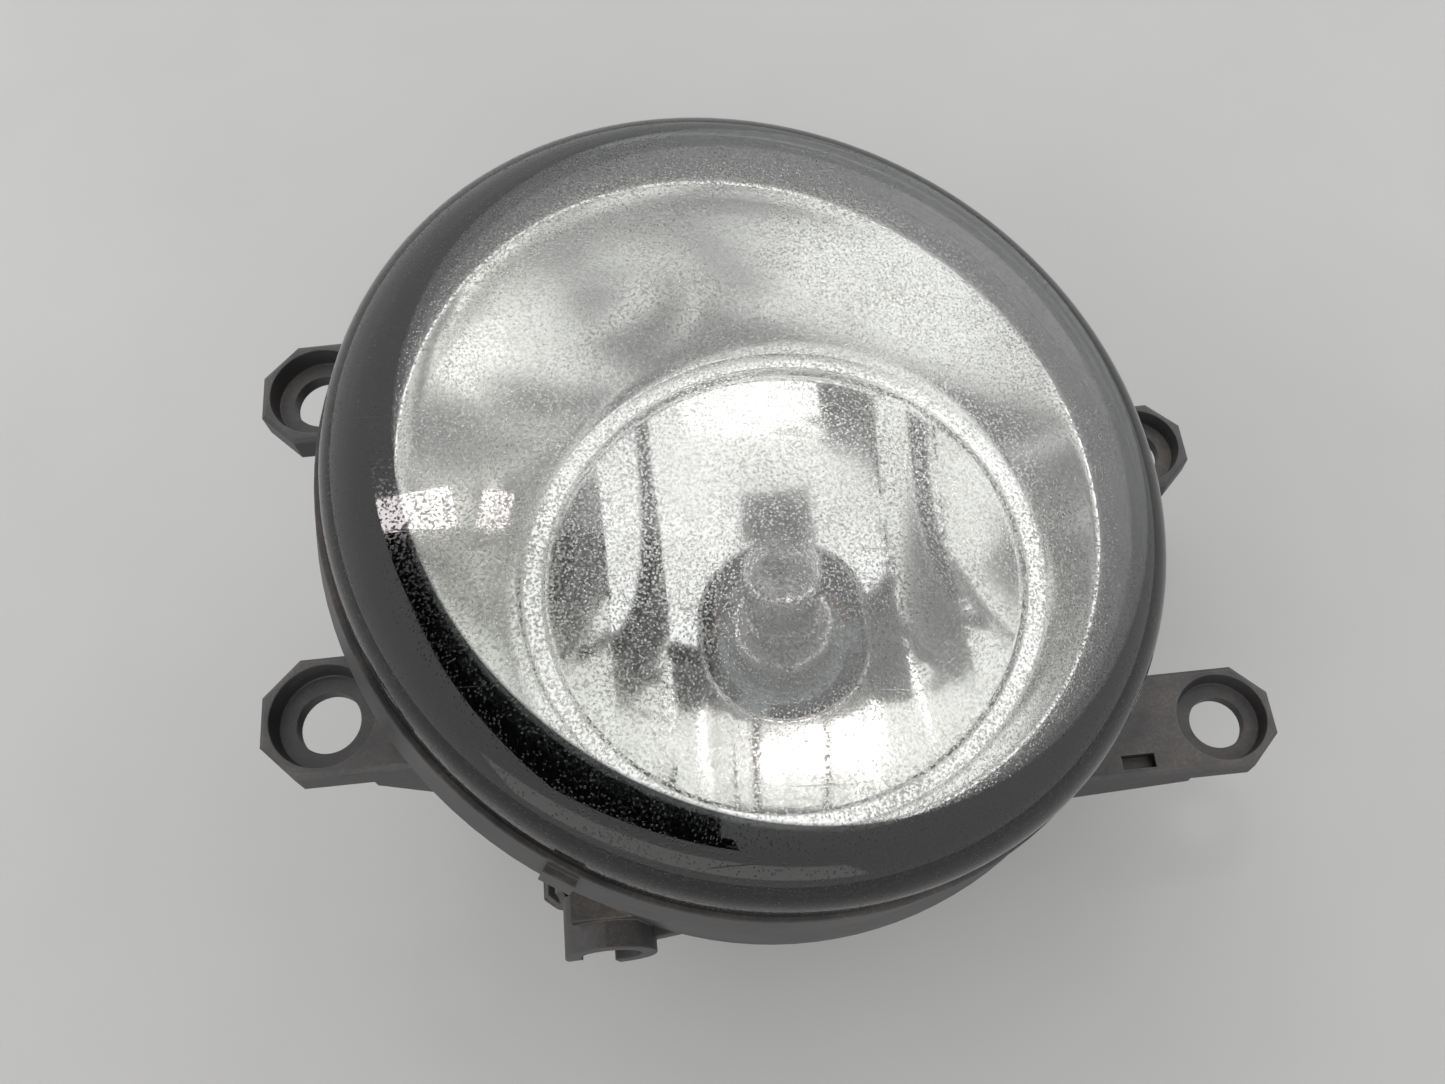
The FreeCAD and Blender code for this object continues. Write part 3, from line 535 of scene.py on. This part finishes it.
finish("bulb_collar", metal("cup_steel", (0.6, 0.6, 0.6), (0.44, 0.43, 0.41), 0.3, 4400.0))
finish("bulb_cement", cement)
finish("bulb_filament", tungsten)
finish("filament_leads", molybdenum_wire)


def clear_glass(name, tint, dirt, dirt_color, roughness, pits, pit_scale):
    """Clear glass with small pits, fine scratches and specks of dirt."""
    made, tree, shader = new_material(name, tint, roughness)
    shader.inputs["Transmission Weight"].default_value = 0.97
    shader.inputs["IOR"].default_value = 1.5
    place = add(tree, "TexCoord").outputs["Object"]
    cell = add(tree, "TexVoronoi", {"Vector": place, "Scale": pit_scale})
    speck = add(tree, "TexNoise", {"Vector": place, "Scale": 2600.0, "Detail": 2.0})
    cloud = add(tree, "TexNoise", {"Vector": place, "Scale": 55.0, "Detail": 6.0,
                                   "Roughness": 0.65})
    cloud = add(tree, "MapRange", {"Value": cloud.outputs["Fac"], "From Min": 0.4,
                                   "From Max": 0.7, "To Min": 0.25})
    speck = add(tree, "MapRange", {"Value": speck.outputs["Fac"], "From Min": 0.5,
                                   "From Max": 0.64})
    grime = add(tree, "Math", {0: speck.outputs["Result"], 1: cloud.outputs["Result"]},
                operation="MULTIPLY")
    grime = add(tree, "Math", {0: grime.outputs[0], 1: dirt}, operation="MULTIPLY", use_clamp=True)
    tone = blend_colors(tree, grime.outputs[0], tint, dirt_color)
    tree.links.new(tone, shader.inputs["Base Color"])
    dirty_roughness = 0.55
    rough = add(tree, "MapRange", {"Value": grime.outputs[0], "To Min": roughness,
                                   "To Max": dirty_roughness})
    tree.links.new(rough.outputs["Result"], shader.inputs["Roughness"])
    pit = add(tree, "MapRange", {"Value": cell.outputs["Distance"], "From Min": 0.0,
                                 "From Max": 0.3})
    turned = add(tree, "Mapping", {"Vector": place, "Rotation": (0.3, 0.5, 0.8),
                                   "Scale": (60.0, 2600.0, 60.0)})
    line = add(tree, "TexNoise", {"Vector": turned.outputs["Vector"], "Scale": 1.0, "Detail": 3.0})
    line = add(tree, "MapRange", {"Value": line.outputs["Fac"], "From Min": 0.72,
                                  "From Max": 0.8})
    height = add(tree, "Math", {0: pit.outputs["Result"], 1: line.outputs["Result"]},
                 operation="SUBTRACT")
    bump = add(tree, "Bump", {"Height": height.outputs[0], "Distance": pits, "Strength": 0.6})
    tree.links.new(bump.outputs["Normal"], shader.inputs["Normal"])
    return made, tree, shader


quartz, tree, shader = clear_glass("quartz", (0.99, 0.99, 0.99), 0.1, (0.6, 0.6, 0.6), 0.005,
                                   0.002 * mm, 400.0)
finish("bulb_capsule", quartz)

# Lens and its seal
# One pressed glass with a flat dome, a rounded shoulder and a foot, bonded in the channel with
# black sealant. The shoulder is blacked out. Stones and sand have pitted the glass all over, and
# dust lies in the pits.
finish("lens_sealant", moulded("black_sealant", (0.012, 0.012, 0.013), (0.022, 0.021, 0.021),
                               (0.04, 0.038, 0.036), road_dust, 0.4, 0.05 * mm, 0.8))
pitted_glass, tree, shader = clear_glass("pitted_glass", (0.985, 0.99, 0.988), 0.9,
                                         (0.32, 0.29, 0.25), 0.012, 0.075 * mm, 2300.0)

# The glass is clear within a circle about this middle, and black from there out.
clear_r, clear_fade = 46.9, 0.4
clear_middle = lens_frame @ (Vector((1.5, 1.2, 0.0)) * mm)
lens_axis = lens_frame.to_3x3() @ Vector((0, 0, 1))
place = add(tree, "TexCoord").outputs["Object"]
from_middle = add(tree, "VectorMath", {0: place, 1: clear_middle}, operation="SUBTRACT")
across = add(tree, "VectorMath", {0: from_middle.outputs["Vector"], 1: lens_axis},
             operation="CROSS_PRODUCT")
reach = add(tree, "VectorMath", {0: across.outputs["Vector"]}, operation="LENGTH")
band = add(tree, "MapRange", {"Value": reach.outputs["Value"], "From Min": clear_r * mm,
                              "From Max": (clear_r + clear_fade) * mm})
tone = blend_colors(tree, band.outputs["Result"],
                    shader.inputs["Base Color"].links[0].from_socket, (0.006, 0.0065, 0.007))
tree.links.new(tone, shader.inputs["Base Color"])
finish("front_lens", pitted_glass)

# Breathers
# Two soft rubber caps pushed over the housing's spigots. A plug of grey foam in each spigot lets
# the lamp breathe and keeps out dust and spray.
finish("breather_caps", black_rubber)
finish("breather_filters", moulded("filter_foam", (0.08, 0.08, 0.085), (0.16, 0.16, 0.165),
                                   (0.2, 0.2, 0.2), road_dust, 0.9, 0.3 * mm, 0.2))

# Studio
# A flat pale floor, a wide soft light low at the foot end, and two small lights above that the
# lens shows as window panes. The reflector shows the pale room, and a black card over the lamp.
floor_z = cad_box[0].z - 0.3 * mm
floor_size = 6.0
bpy.ops.object.select_all(action="DESELECT")
bpy.ops.mesh.primitive_plane_add(size=floor_size, location=(0, 0, floor_z))
floor = bpy.context.object
floor.name = "studio_floor"
paper, tree, shader = new_material("studio_paper", (0.37, 0.37, 0.37), 0.8)
skin = use_group(tree, grain, grain_scale=700.0, mottle_scale=4.0)
tree.links.new(blend_colors(tree, skin["Mottle"], (0.36, 0.36, 0.357), (0.4, 0.4, 0.396)),
               shader.inputs["Base Color"])
floor.data.materials.append(paper)


def soft_light(name, place, size, power, color):
    """Soft light of a width and a height, turned towards the lamp."""
    lamp = bpy.data.lights.new(name, "AREA")
    lamp.shape = "RECTANGLE"
    lamp.size, lamp.size_y = size
    lamp.energy = power
    lamp.color = color
    holder = bpy.data.objects.new(name, lamp)
    holder.location = place
    holder.rotation_euler = (-Vector(place)).to_track_quat("-Z", "Y").to_euler()
    bpy.context.scene.collection.objects.link(holder)


soft_light("main_light", (-0.1, -1.0, 0.5), (1.6, 0.5), 2.6, (1.0, 0.97, 0.94))
soft_light("window_light", (-0.055, 0.285, 0.957), (0.11, 0.1), 0.6, (1.0, 0.93, 0.93))
soft_light("window_pane", (0.06, 0.3, 0.957), (0.05, 0.07), 0.14, (1.0, 0.91, 0.92))

# The card hangs level over the lamp. The camera looks through it, and only reflections show it.
card_centre, card_w, card_d = Vector((0.0, -0.055, 0.2)), 0.13, 0.18
bpy.ops.object.select_all(action="DESELECT")
bpy.ops.mesh.primitive_plane_add(size=1.0)
card = bpy.context.object
card.name = "camera_card"
card.data.transform(Matrix.Diagonal((card_w, card_d, 1.0, 1.0)))
card.data.transform(Matrix.Translation(card_centre))
card_black, tree, shader = new_material("card_black", (0.03, 0.03, 0.03), 0.9)
card.data.materials.append(card_black)
card.visible_camera = False

world = bpy.data.worlds.new("studio_room")
bpy.context.scene.world = world
world.use_nodes = True
tree = world.node_tree
sky = tree.nodes["Background"]
sky.inputs["Strength"].default_value = 1.18
toward = add(tree, "SeparateXYZ", {"Vector": add(tree, "TexCoord").outputs["Generated"]})
rise = add(tree, "MapRange", {"Value": toward.outputs["Y"], "From Min": -0.8, "From Max": 0.6})
tree.links.new(blend_colors(tree, rise.outputs["Result"], (1.0, 1.0, 1.0),
                            (1.3, 1.305, 1.31)), sky.inputs["Color"])

# Camera
# It stands close over the foot end of the lamp and looks down on the lens, as a hand-held camera
# would.
eye = bpy.data.cameras.new("camera")
eye.lens = 33.827
eye.sensor_width = 36.0
eye.clip_start = 0.01
camera = bpy.data.objects.new("camera", eye)
camera_place, camera_turns = Vector((-7.822, -79.292, 181.126)), (25.243, 2.553, -5.354)
camera.location = camera_place * mm
camera.rotation_euler = [math.radians(turn) for turn in camera_turns]
bpy.context.scene.collection.objects.link(camera)
bpy.context.scene.camera = camera
bpy.context.scene.view_settings.view_transform = "Standard"
cycles = bpy.context.scene.cycles
cycles.max_bounces = 16
cycles.glossy_bounces = 8
cycles.transmission_bounces = 12
